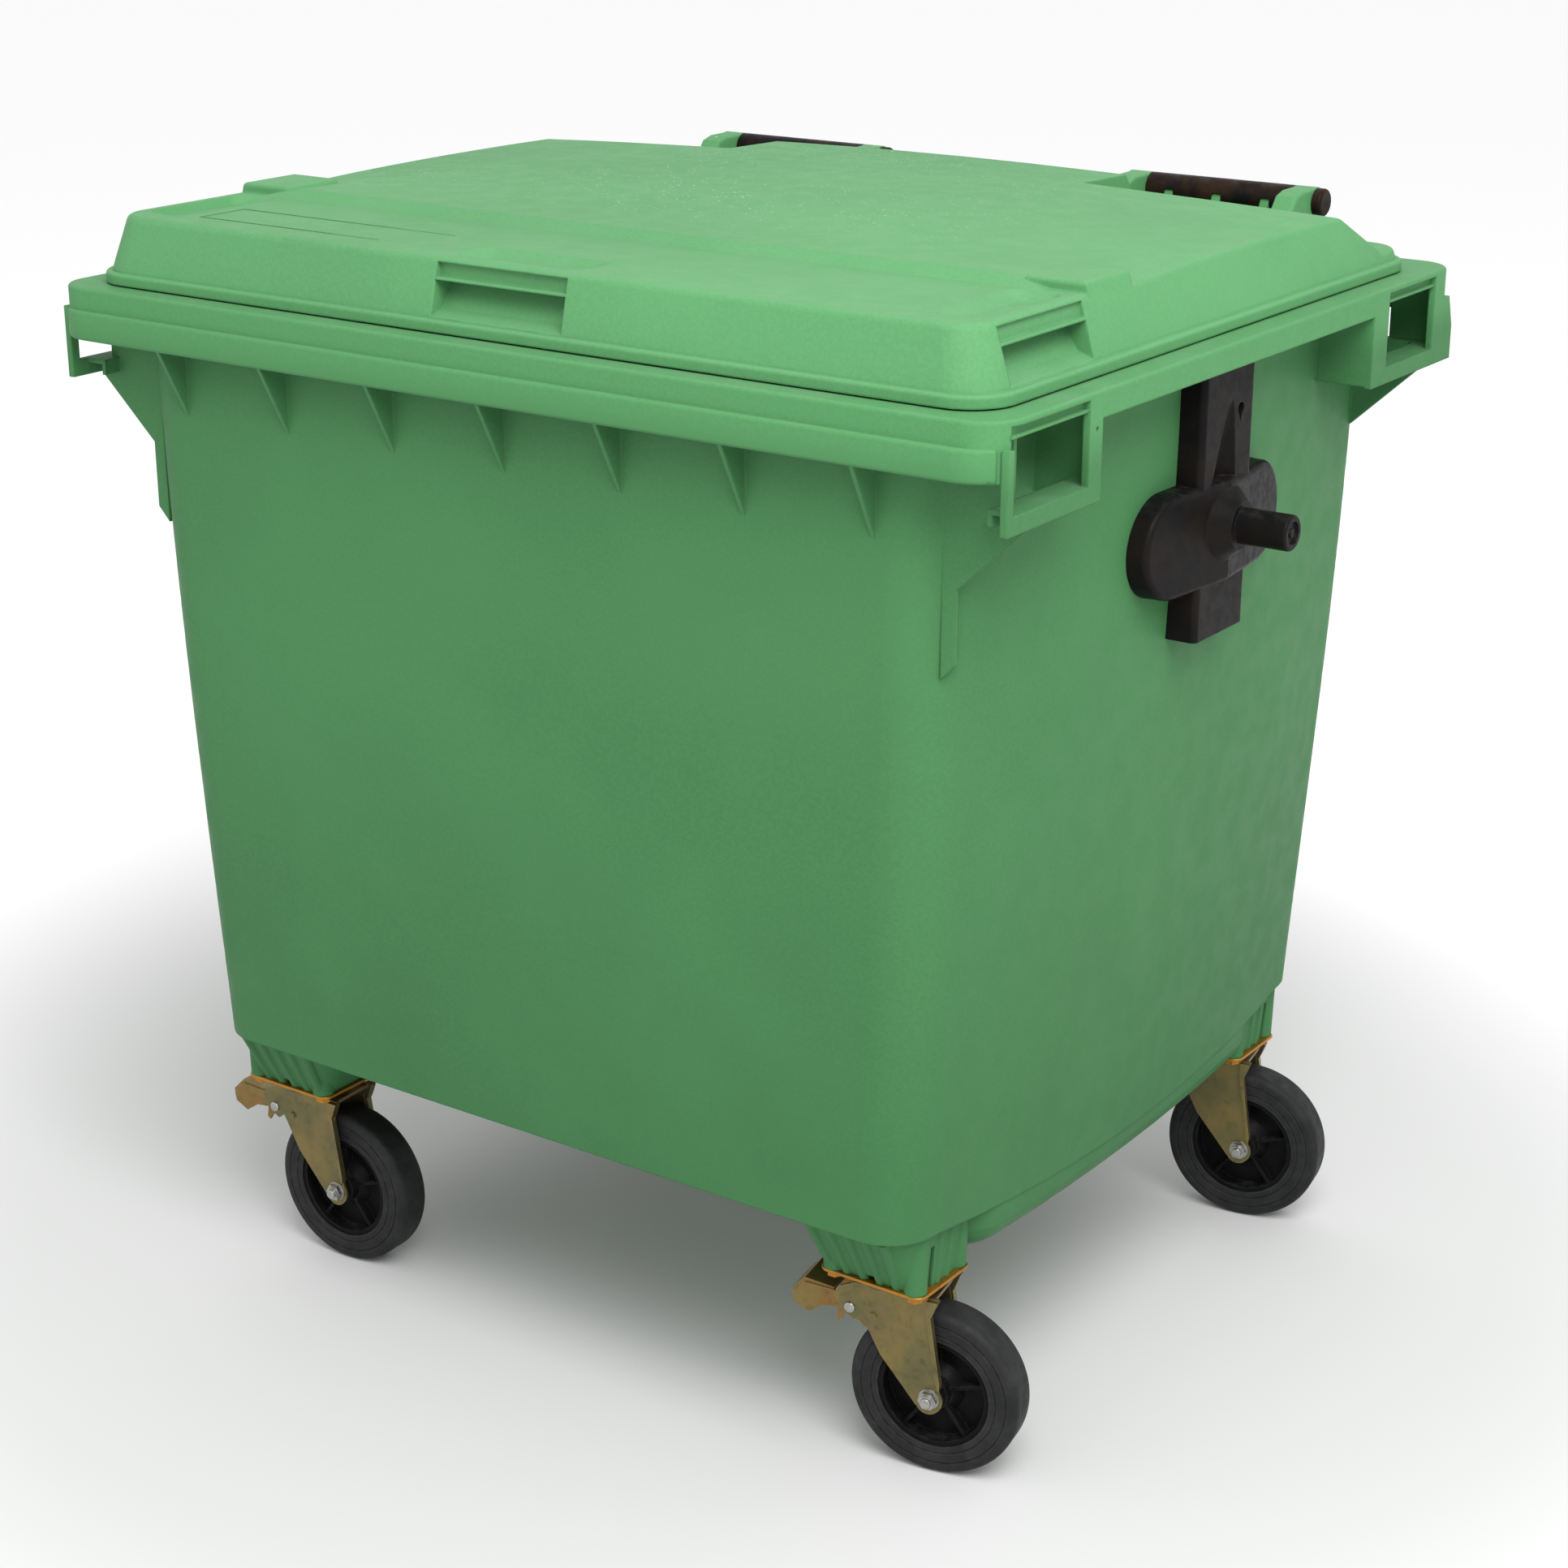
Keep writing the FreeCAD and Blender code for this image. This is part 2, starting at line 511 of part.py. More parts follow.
def lid_volume(t):
    """The lid as a filled block; t moves every face inwards for the hollow underneath."""
    slopes = lid_slopes(t)
    low = LID_BASE - 3
    front = slopes.common(box(-700, 700, -600, RISER_Y + t + 20, low, FRONT_BAND_TOP - t))
    pad = slopes.common(box(PAD_INNER_X + t, 700, RISER_Y + t, STRIP_END_Y - t, low, STRIP_TOP - t))
    flat = slopes.common(box(-700, 700, 200, 600, low, LOW_BAND_TOP - t))
    crowned = slopes.common(crown_block(t))
    foot = RISER_Y - RISER_RUN + 6 + t
    brow = RISER_Y + 6 + t
    ahead = [(foot, low), (foot, FRONT_BAND_TOP - 1 - t), (brow, RISER_TOP + 1.5 - t), (brow, 1360)]
    behind = [(270 - t, 1360), (288 - t, 1322 - t), (392 - t, LOW_BAND_TOP - t), (420 - t, low)]
    side_cut = profile(ahead + behind, "yz", -700, 700)
    middle_cut = profile([(200, low), (200, 1360), (370 - t, 1360), (385 - t, 1326 - t),
                          (438 - t, LOW_BAND_TOP - t), (445 - t, low)], "yz", -258 + t, 258 - t)
    if t == 0:
        front = round_edges(front, 9, lambda p: p.z > FRONT_BAND_TOP - 0.5 and p.y < RISER_Y + 10)
        pad = round_edges(pad, 5, lambda p: p.z > STRIP_TOP - 0.5)
        flat = round_edges(flat, 6, lambda p: p.z > LOW_BAND_TOP - 0.5 and p.y > 210)
    dome = crowned.common(side_cut)
    middle = crowned.common(middle_cut)
    if t == 0:
        dome = round_edges(dome, 6, lambda p: p.z > 1300 and (abs(p.x) > 560 or p.y > 260))
        middle = round_edges(middle, 7, lambda p: p.z > 1300 and (abs(p.x) > 250 or p.y > 370) and p.y > 210)
    return fuse([front, pad, mirror_x(pad), dome, middle, flat])


def grip_cut(half, grow):
    """Finger scoop, finger band and thumb dish, drawn on the front face of the lid."""
    g = grow
    scoop = profile([(-520, SCOOP_LOW - g), (-492, SCOOP_LOW - g), (-470 + g / 2, SCOOP_LOW + 7 - g),
                     (-452 + g, 1283 - g), (-452 + g, LEDGE_LOW + g), (-520, LEDGE_LOW + g)],
                    "yz", -half - g, half + g)
    band = profile([(-520, LEDGE_TOP - g), (-471 + g, LEDGE_TOP - g), (-469 + g, BAND_HIGH + g),
                    (-520, BAND_HIGH + g)], "yz", -half - g, half + g)
    floor = FRONT_BAND_TOP - DISH_DEEP - g
    low = rectangle(-half + 14 - g, half - 14 + g, -452 - g, DISH_REAR - 20 + g, 14 + g / 2, floor)
    high = rectangle(-half - 3 - g, half + 3 + g, -457 - g, DISH_REAR + g, 22 + g / 2, FRONT_BAND_TOP + 1)
    dish = Part.makeLoft([low, high], True, True)
    return [scoop, band, dish]


def side_grip_cut(half, grow):
    """The same recess on the +X side near the front corner."""
    tools = []
    for tool in grip_cut(half, grow):
        turned = tool.copy()
        turned.rotate(Vector(0, 0, 0), Z_AXIS, 90)
        turned.translate(Vector(LID_HALF_X + LID_FRONT - 0.5, -362, 0))
        tools.append(turned)
    return tools


def lid_ear(x0, x1):
    """Arm from the lid's rear edge back to the hinge pin."""
    arm = profile([(415, LOW_BAND_TOP - 12), (440, LOW_BAND_TOP), (474, 1303), (490, HINGE_Z + 17.5),
                   (HINGE_Y, HINGE_Z + 18), (HINGE_Y + 3, HINGE_Z - 17.7), (500, HINGE_Z - 24),
                   (472, LOW_BAND_TOP - 15), (440, LOW_BAND_TOP - 17)], "yz", x0, x1)
    middle = (x0 + x1) / 2
    arm = round_edges(arm, 4, lambda p: abs(p.x - middle) > 10 and p.z > LOW_BAND_TOP - 5 and p.y < 528)
    eye = rod(18, (x0, HINGE_Y, HINGE_Z), (x1, HINGE_Y, HINGE_Z))
    return fuse([arm, eye])


def raised_line(x0, x1, y0, y1, z):
    """A thin raised border line on top of the lid."""
    return box(x0, x1, y0, y1, z - 3, z + 0.8)


def lid():
    outer = lid_volume(0)
    edge = slab(-LID_HALF_X, LID_HALF_X, LID_FRONT, LID_REAR, 52, LID_BASE, 1250)
    edge = round_edges(edge, 4, lambda p: p.z > 1249.5)
    outer = fuse([outer.common(box(-700, 700, -600, 600, LID_BASE, 1400)), edge])
    tools = grip_cut(88, 0)
    grown = grip_cut(88, LID_WALL)
    for sign in (1, -1):
        for plain, list_out in ((side_grip_cut(80, 0), tools), (side_grip_cut(80, LID_WALL), grown)):
            for tool in plain:
                list_out.append(tool if sign > 0 else mirror_x(tool))
    inner = cut(lid_volume(LID_WALL), grown)
    shell = cut(outer, tools).cut(inner)
    foot = slab(-591, 591, -484, 457, 41, LID_BASE - 2, 1246)
    shell = shell.cut(foot)
    ears = []
    for side in (-1, 1):
        for inner_edge in (-EAR_GAP / 2 - EAR_WIDTH, EAR_GAP / 2):
            x0 = side * HINGE_X + inner_edge
            ears.append(lid_ear(x0, x0 + EAR_WIDTH))
    ribs = []
    for x in (-420, -210, 0, 210, 420):
        rib = box(x - 2, x + 2, -440, 440, 1252, 1345).common(lid_volume(2))
        ribs.append(rib.cut(box(-700, 700, -430, 430, 1200, 1290)).cut(Part.makeCompound(grown)))
    frame = []
    for x0, x1, y0, y1 in ((-480, -160, -366, -364), (-480, -478, -432, -364), (-480, -210, -434, -432)):
        frame.append(raised_line(x0, x1, y0, y1, FRONT_BAND_TOP))
    whole = fuse([shell] + ears + frame + ribs)
    bores = [hinge_bore(side * HINGE_X - 140, side * HINGE_X + 140, PIN_R + RUN) for side in (-1, 1)]
    return cut(whole, bores)


# ---------------------------------------------------------------- hinges
def hinge_pin(side):
    """Steel pin with a head at its -X end and a groove for its cap at the other."""
    x = side * HINGE_X
    shaft = rod(PIN_R, (x - 129, HINGE_Y, HINGE_Z), (x + 138, HINGE_Y, HINGE_Z))
    head = rod(14, (x - 133, HINGE_Y, HINGE_Z), (x - 128.4, HINGE_Y, HINGE_Z))
    return fuse([shaft, round_edges(head, 2, lambda p: p.x < x - 132.9)])


def hinge_cap(side):
    """Black push-on cap on the pin's +X end."""
    x = side * HINGE_X + EAR_GAP / 2 + EAR_WIDTH + 0.4
    cap = rod(17, (x, HINGE_Y, HINGE_Z), (x + 12, HINGE_Y, HINGE_Z))
    cap = round_edges(cap, 4, lambda p: p.x > x + 11.9)
    return cap.cut(rod(PIN_R, (x - 1, HINGE_Y, HINGE_Z), (side * HINGE_X + 138, HINGE_Y, HINGE_Z)))


def hinge_grip(side):
    """Hand grip over the hinge: a shell open underneath, on half-round ribs that clip to the pin."""
    x0 = side * HINGE_X - EAR_GAP / 2 + 1
    x1 = side * HINGE_X + EAR_GAP / 2 - 1
    shell = hinge_bore(x0, x1, GRIP_R).cut(hinge_bore(x0 - 1, x1 + 1, GRIP_R - 2.6))
    below = box(x0 - 1, x1 + 1, HINGE_Y - 13, HINGE_Y + 13, HINGE_Z - 30, HINGE_Z - 8)
    notches = []
    for dx in LUGS_X:
        x = side * HINGE_X + dx
        notches.append(box(x - LUG_T / 2 - 0.5, x + LUG_T / 2 + 0.5, HINGE_Y - 30, HINGE_Y + 30,
                           HINGE_Z - 30, HINGE_Z + 1))
    pieces = [cut(shell, [below] + notches)]
    for dx in (-92, -33, 33, 92):
        x = side * HINGE_X + dx
        web = hinge_bore(x - 2, x + 2, GRIP_R - 1)
        web = web.cut(box(x - 3, x + 3, HINGE_Y - 30, HINGE_Y + 30, HINGE_Z - 30, HINGE_Z - 4))
        pieces.append(web)
    return fuse(pieces).cut(hinge_bore(x0 - 1, x1 + 1, PIN_R + RUN))


# ---------------------------------------------------------------- drain
def drain_plug():
    """Screw plug in the belly, with a finger bar underneath."""
    stem = rod(24.2, (0, 0, BELLY_Z), (0, 0, BELLY_Z + 16))
    flange = rod(34, (0, 0, BELLY_Z - 9), (0, 0, BELLY_Z - 3))
    neck = rod(22, (0, 0, BELLY_Z - 3.5), (0, 0, BELLY_Z + 0.5))
    grip = box(-24, 24, -4, 4, BELLY_Z - 19, BELLY_Z - 8)
    return fuse([stem, flange, neck, grip])


def drain_seal():
    ring = rod(33, (0, 0, BELLY_Z - 3), (0, 0, BELLY_Z))
    return ring.cut(rod(22.2, (0, 0, BELLY_Z - 4), (0, 0, BELLY_Z + 1)))


# ---------------------------------------------------------------- casters
# Local frame of one caster: origin on the floor under the swivel axis, +x trailing, y along the axle.
def place(shape, x, y, angle):
    moved = shape.copy()
    moved.rotate(Vector(0, 0, 0), Z_AXIS, angle)
    moved.translate(Vector(x, y, 0))
    return moved


def hex_prism(across, start, end):
    a = Vector(*start)
    d = Vector(*end) - a
    prism = hexagon(across).extrude(Vector(0, 0, d.Length))
    prism.Placement = FreeCAD.Placement(a, FreeCAD.Rotation(Z_AXIS, d))
    return prism


def caster_plate():
    plate = slab(-67.5, 67.5, -52.5, 52.5, 12, PLATE_TOP - PLATE_T, PLATE_TOP)
    plate = round_edges(plate, 1.2, lambda p: abs(p.z - PLATE_TOP + 2) > 1.9)
    cup = cone(34, 30, (0, 0, PLATE_TOP - PLATE_T), (0, 0, PLATE_TOP - PLATE_T - 5))
    holes = [rod(5.5, (sx * BOLT_X, sy * BOLT_Y, 220), (sx * BOLT_X, sy * BOLT_Y, 240))
             for sx in (-1, 1) for sy in (-1, 1)]
    return cut(fuse([plate, cup]), holes + [rod(8.1, (0, 0, 220), (0, 0, 240))])


def bearing_race():
    """Grey ring of the swivel bearing between the plate and the fork."""
    z0, z1 = 224.4, 234.0
    ring = rod(41, (0, 0, z0), (0, 0, z1)).cut(rod(35, (0, 0, z0 - 1), (0, 0, z1 + 1)))
    return round_edges(ring, 1.5, lambda p: p.z < z0 + 0.1 and math.hypot(p.x, p.y) > 40)


def bearing_balls():
    """Crown of balls that carries the load in the swivel."""
    balls = []
    for i in range(18):
        angle = 2 * math.pi * i / 18
        balls.append(Part.makeSphere(2.8, Vector(25 * math.cos(angle), 25 * math.sin(angle), 226.15)))
    return Part.makeCompound(balls)


def kingpin():
    shaft = rod(8, (0, 0, 211), (0, 0, PLATE_TOP))
    nut = hex_prism(24, (0, 0, 211), (0, 0, 218.7))
    return fuse([shaft, nut])


def fork_side():
    """Outline of one side plate in its own plane, as seen from the -y side."""
    points = [(-37, 224), (-37, 204), (-22, 178), (-3, 141), (24, 108), (40, 88)]
    rear = [(68, 88), (67, 118), (61, 152), (56, 190), (54, 208), (64, 224)]
    lobe = rod(14.5, (54, 0, 94), (54, FORK_T, 94))
    plate = profile(points + rear, "xz", 0, FORK_T)
    below = [(30, 70), (36, 88), (42, 82), (68, 82), (69, 96), (80, 96), (80, 70)]
    plate = plate.cut(profile(below, "xz", -1, 9))
    return fuse([plate, rod(16, (TRAIL - 1, 0, 97), (TRAIL - 1, FORK_T, 97)), lobe])


def fork(braked):
    inner = FORK_GAP / 2
    outer = inner + FORK_T
    crown = slab(-37, 60, -outer, outer, 6, 219.0, 223.0)
    dome = rod(31, (0, 0, 219.0), (0, 0, 223.0))
    side = fork_side()
    right = side.copy()
    right.translate(Vector(0, -outer, 0))
    left = side.copy()
    left.translate(Vector(0, inner, 0))
    pieces = [crown, dome, right, left]
    for sign in (-1, 1):
        flange = profile([(52, 209), (56, 212), (69.5, 122), (69, 115), (67, 115), (65, 122)], "xz", -4, 4)
        lip = profile([(53, 223), (53, 207), (56.5, 200), (60, 207), (66, 223)], "xz", -5, 5)
        for part in (flange, lip):
            moved = part.copy()
            moved.translate(Vector(0, sign * (outer + 1.5), 0))
            pieces.append(moved)
    if braked:
        for sign in (-1, 1):
            y0 = -outer if sign < 0 else inner
            pieces.append(profile([(-34, 224), (-52, 216), (-60, 205), (-56, 196), (-46, 184), (-34, 178),
                                   (-20, 190)], "xz", y0, y0 + FORK_T))
            pieces.append(rod(4.5, (-12, sign * (outer + 2.4), 187), (-12, sign * (inner + 1), 187)))
    body = fuse(pieces).cut(rod(8.05, (0, 0, 200), (0, 0, 240)))
    body = body.cut(rod(AXLE_R + 0.05, (TRAIL, -60, WHEEL_R), (TRAIL, 60, WHEEL_R)))
    if braked:
        body = body.cut(rod(4.05, (-40, -60, 192), (-40, 60, 192)))
    return body


def wheel_disc(radius, half_width):
    """Cylinder about the wheel's axle."""
    return rod(radius, (TRAIL, -half_width, WHEEL_R), (TRAIL, half_width, WHEEL_R))


def rim_wheel():
    """Black plastic wheel body: hub, closed web with deep ribs on both sides, and the tyre seat."""
    seat = wheel_disc(66, 21).cut(wheel_disc(60, 22))
    pieces = [seat, wheel_disc(19, 25.5), wheel_disc(62, 3)]
    for i in range(5):
        rib = profile([(TRAIL - 2, WHEEL_R + 12), (TRAIL + 2, WHEEL_R + 12), (TRAIL + 2, WHEEL_R + 62),
                       (TRAIL - 2, WHEEL_R + 62)], "xz", -15, 15)
        rib.rotate(Vector(TRAIL, 0, WHEEL_R), Y_AXIS, 72 * i)
        pieces.append(rib)
    collar = cone(34, 21, (TRAIL, 0, WHEEL_R), (TRAIL, 14, WHEEL_R))
    pieces += [collar, cone(34, 21, (TRAIL, 0, WHEEL_R), (TRAIL, -14, WHEEL_R))]
    return cut(fuse(pieces), [wheel_disc(10.05, 30)])


def tyre():
    """Solid rubber tyre with rounded shoulders and two fine rings on each side."""
    ring = rod(WHEEL_R, (TRAIL, -23, WHEEL_R), (TRAIL, 23, WHEEL_R))
    ring = round_edges(ring, 9, lambda p: abs(p.y) > 22.9)
    ring = ring.cut(rod(66, (TRAIL, -30, WHEEL_R), (TRAIL, 30, WHEEL_R)))
    grooves = []
    for radius in (74.0, 86.0):
        for side in (-1, 1):
            groove = rod(radius + 1, (TRAIL, side * 21.8, WHEEL_R), (TRAIL, side * 26, WHEEL_R))
            core = rod(radius - 1, (TRAIL, side * 20, WHEEL_R), (TRAIL, side * 27, WHEEL_R))
            grooves.append(groove.cut(core))
    return cut(ring, grooves)


def axle_sleeve():
    half = FORK_GAP / 2
    tube = rod(10, (TRAIL, -half, WHEEL_R), (TRAIL, half, WHEEL_R))
    return tube.cut(rod(AXLE_R + 0.05, (TRAIL, -40, WHEEL_R), (TRAIL, 40, WHEEL_R)))


def axle_bolt():
    outer = FORK_GAP / 2 + FORK_T
    shank = rod(AXLE_R, (TRAIL, -outer - 14, WHEEL_R), (TRAIL, outer + 1, WHEEL_R))
    shank = round_edges(shank, 1, lambda p: p.y < -outer - 13.9)
    head = hex_prism(19, (TRAIL, outer, WHEEL_R), (TRAIL, outer + 7.5, WHEEL_R))
    return fuse([shank, head])


def axle_nut():
    outer = FORK_GAP / 2 + FORK_T
    washer = rod(12, (TRAIL, -outer, WHEEL_R), (TRAIL, -outer - 1.8, WHEEL_R))
    nut = hex_prism(19, (TRAIL, -outer - 1.7, WHEEL_R), (TRAIL, -outer - 8.5, WHEEL_R))
    collar = rod(8.2, (TRAIL, -outer - 8, WHEEL_R), (TRAIL, -outer - 11, WHEEL_R))
    bore = rod(AXLE_R + 0.02, (TRAIL, -outer + 1, WHEEL_R), (TRAIL, -outer - 20, WHEEL_R))
    return fuse([washer, nut, collar]).cut(bore)


def brake_pedal():
    """Pressed pedal with two cheeks on the brake pin and a nose that bites the tyre."""
    half = FORK_GAP / 2 - 1.0
    pad = profile([(-62, 208), (-97, 213), (-114, 196), (-112, 192), (-96, 208), (-62, 203.5)], "xz", -26, 26)
    lip = profile([(-112, 196), (-114, 196), (-110, 180), (-107, 181)], "xz", -26, 26)
    pieces = [pad, lip]
    for sign in (-1, 1):
        cheek = profile([(-110, 181), (-112, 193), (-97, 208), (-62, 206), (-44, 201), (-31, 192),
                         (-33, 184), (-46, 182), (-54, 169), (-58, 172), (-56, 186), (-74, 184), (-92, 172)],
                        "xz", 0, 3)
        cheek.translate(Vector(0, sign * (half - 1.5) - 1.5, 0))
        pieces.append(cheek)
    barrel = rod(7.5, (-40, -half, 192), (-40, half, 192))
    nose = profile([(-46, 189), (-34, 189), (-24.3, 163.4), (-29, 160), (-40, 170)], "xz", -15, 15)
    pieces += [barrel, nose]
    return fuse(pieces).cut(rod(4.05, (-40, -40, 192), (-40, 40, 192)))


def brake_pin():
    outer = FORK_GAP / 2 + FORK_T
    shaft = rod(4, (-40, -outer - 1, 192), (-40, outer + 1, 192))
    heads = []
    for sign in (-1, 1):
        head = rod(6.5, (-40, sign * outer, 192), (-40, sign * (outer + 2.6), 192))
        heads.append(round_edges(head, 1.8, lambda p: abs(p.y) > outer + 2.5))
    return fuse([shaft] + heads)


def caster_bolts():
    """Hex bolts up through the four plates into the container's posts."""
    bolts = []
    for name, sx, sy, angle, braked in CASTERS:
        for dx in (-BOLT_X, BOLT_X):
            for dy in (-BOLT_Y, BOLT_Y):
                x = sx * CASTER_X + dx
                y = sy * CASTER_Y + dy
                head = hex_prism(16, (x, y, PLATE_TOP - PLATE_T - 6.4), (x, y, PLATE_TOP - PLATE_T))
                shank = rod(BOLT_R, (x, y, PLATE_TOP - PLATE_T - 1), (x, y, CREASE_Z + 12))
                bolts.append(fuse([head, shank]))
    return Part.makeCompound(bolts)


def caster_nuts():
    """Domed nuts over washers on the floor inside the container."""
    nuts = []
    for name, sx, sy, angle, braked in CASTERS:
        for dx in (-BOLT_X, BOLT_X):
            for dy in (-BOLT_Y, BOLT_Y):
                x = sx * CASTER_X + dx
                y = sy * CASTER_Y + dy
                z = CREASE_Z + WALL
                nut = hex_prism(17, (x, y, z), (x, y, z + 8))
                nuts.append(nut.cut(rod(BOLT_R + 0.02, (x, y, z - 1), (x, y, z + 9))))
    return Part.makeCompound(nuts)


# ---------------------------------------------------------------- the whole assembly
def caster_parts():
    parts = {}
    for name, sx, sy, angle, braked in CASTERS:
        x = sx * CASTER_X
        y = sy * CASTER_Y
        parts["caster_plate_" + name] = place(caster_plate(), x, y, 0)
        parts["swivel_race_" + name] = place(bearing_race(), x, y, 0)
        parts["swivel_balls_" + name] = place(bearing_balls(), x, y, angle)
        parts["kingpin_" + name] = place(kingpin(), x, y, 0)
        turning = {"fork": fork(braked), "wheel_rim": rim_wheel(), "tyre": tyre(),
                   "axle_sleeve": axle_sleeve(), "axle_bolt": axle_bolt(), "axle_nut": axle_nut()}
        if braked:
            turning["brake_pedal"] = brake_pedal()
            turning["brake_pin"] = brake_pin()
        for part, shape in turning.items():
            parts[part + "_" + name] = place(shape, x, y, angle)
    return parts


def all_parts():
    parts = {"container": container(), "lid": lid(), "drain_plug": drain_plug(), "drain_seal": drain_seal()}
    bracket = trunnion_bracket()
    parts["trunnion_bracket_right"] = bracket
    parts["trunnion_bracket_left"] = mirror_x(bracket)
    parts["trunnion_bolts"] = trunnion_bolts()
    for name, side in (("left", -1), ("right", 1)):
        parts["hinge_pin_" + name] = hinge_pin(side)
        parts["hinge_cap_" + name] = hinge_cap(side)
        parts["hinge_grip_" + name] = hinge_grip(side)
    parts.update(caster_parts())
    parts["caster_bolts"] = caster_bolts()
    parts["caster_nuts"] = caster_nuts()
    return parts


def main():
    os.makedirs("parts", exist_ok=True)
    for name, shape in all_parts().items():
        shape = shape.copy()
        shape.translate(Vector(0, -TUB_AHEAD, 0))
        shape.exportStep("parts/" + name + ".step")
        b = shape.BoundBox
        print("%-28s solids %2d valid %s vol %10.0f  x %.1f..%.1f y %.1f..%.1f z %.1f..%.1f" % (
            name, len(shape.Solids), shape.isValid(), shape.Volume,
            b.XMin, b.XMax, b.YMin, b.YMax, b.ZMin, b.ZMax))


main()
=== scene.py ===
import math

import bpy
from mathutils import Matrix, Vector


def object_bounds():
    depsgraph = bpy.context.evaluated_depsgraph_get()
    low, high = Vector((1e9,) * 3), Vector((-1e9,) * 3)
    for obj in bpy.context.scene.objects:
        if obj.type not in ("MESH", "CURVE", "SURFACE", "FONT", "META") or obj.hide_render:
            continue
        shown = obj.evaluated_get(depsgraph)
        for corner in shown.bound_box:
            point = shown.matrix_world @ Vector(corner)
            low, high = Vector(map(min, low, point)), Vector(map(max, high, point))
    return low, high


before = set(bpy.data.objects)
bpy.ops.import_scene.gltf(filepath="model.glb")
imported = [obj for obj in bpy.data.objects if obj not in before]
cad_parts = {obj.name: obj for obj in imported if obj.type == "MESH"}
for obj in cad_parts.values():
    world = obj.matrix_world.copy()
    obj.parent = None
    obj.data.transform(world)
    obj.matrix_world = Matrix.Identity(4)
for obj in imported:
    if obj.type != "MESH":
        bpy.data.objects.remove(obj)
cad_low, cad_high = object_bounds()

# ---------------------------------------------------------------- camera and studio, in metres
CAMERA_AT = (2.0404, -2.8844, 1.8618)
CAMERA_AZIMUTH = 35.04
CAMERA_ELEVATION = 19.66
CAMERA_LENS = 69.47
SENSOR = 36.0

FLOOR_HALF = 40.0
FLOOR_NEAR_SHADED = (0.60, 0.60, 0.60)
FLOOR_FAR = (0.95, 0.95, 0.95)
FLOOR_FADE = (0.9, 1.9)       # distance from the middle over which the floor turns from painted shade to white
WORLD_COLOUR = (1.0, 1.0, 1.0)
WORLD_STRENGTH = 1.0

# name, azimuth it comes from, elevation, distance, size, watts
LIGHTS = [("key_top", 50, 48, 4.5, 2.6, 190)]

# ---------------------------------------------------------------- heights and places, in metres
RIM_LOW = 1.175               # underside of the container's rim
LOW_SHADE_TOP = 0.80              # painted shade: the walls are darkened from here down to the bottom
LOW_SHADE_BOTTOM = 0.26
SPECKS_END_X = 0.52           # the lid's specks thin out towards its right end
SPECKS_FULL_X = 0.05
SPECKS_FRONT_Y = (-0.30, -0.05)

# ---------------------------------------------------------------- colours, linear
TUB_GREEN = (0.054, 0.170, 0.065)
# painted light: the lid's green is a lighter copy of the tub's, standing in for the stronger light the lid
# gets from above
LID_GREEN_LIT = (0.092, 0.268, 0.110)
BLACK = (0.0062, 0.0058, 0.0060)
RIM_BLACK = (0.0050, 0.0050, 0.0056)
RUBBER = (0.0105, 0.0108, 0.0115)
RUBBER_DUSTY = (0.030, 0.030, 0.030)
RUBBER_WORN = (0.060, 0.060, 0.060)
SEAL = (0.008, 0.008, 0.008)
SEAL_BLOOM = (0.02, 0.02, 0.02)
BRACKET_BLOOM = (0.0100, 0.0078, 0.0066)
GRIP_BLOOM = (0.0240, 0.0135, 0.0080)
RIM_BLOOM = (0.0085, 0.0085, 0.0092)
BLACK_WORN = (0.060, 0.060, 0.062)
BLACK_DUST = (0.060, 0.058, 0.054)
ZINC_GOLD = (0.215, 0.165, 0.062)
ZINC_OLIVE = (0.135, 0.125, 0.058)
ZINC_ORANGE = (0.46, 0.20, 0.022)
ZINC_AMBER = (0.36, 0.17, 0.03)
ZINC_RUST = (0.24, 0.10, 0.02)
ZINC_BROWN = (0.24, 0.12, 0.035)
ZINC_COPPER = (0.30, 0.105, 0.02)
ZINC_ROSE = (0.20, 0.115, 0.070)
ZINC_SOOT = (0.045, 0.038, 0.020)
ZINC_EDGE = (0.46, 0.41, 0.22)
STEEL = (0.40, 0.40, 0.385)
STEEL_TARNISH = (0.20, 0.19, 0.17)
RACE_GREY = (0.15, 0.15, 0.15)
RACE_GREASE = (0.07, 0.068, 0.062)
DUST = (0.24, 0.33, 0.235)
SPECK = (0.46, 0.62, 0.46)

# ---------------------------------------------------------------- how worn and how glossy
BLACK_GLOSS = 0.36            # middle of each roughness range
RIM_GLOSS = 0.38
TUB_DUST = 0.16               # share of dust on what faces up
LID_DUST = 0.12


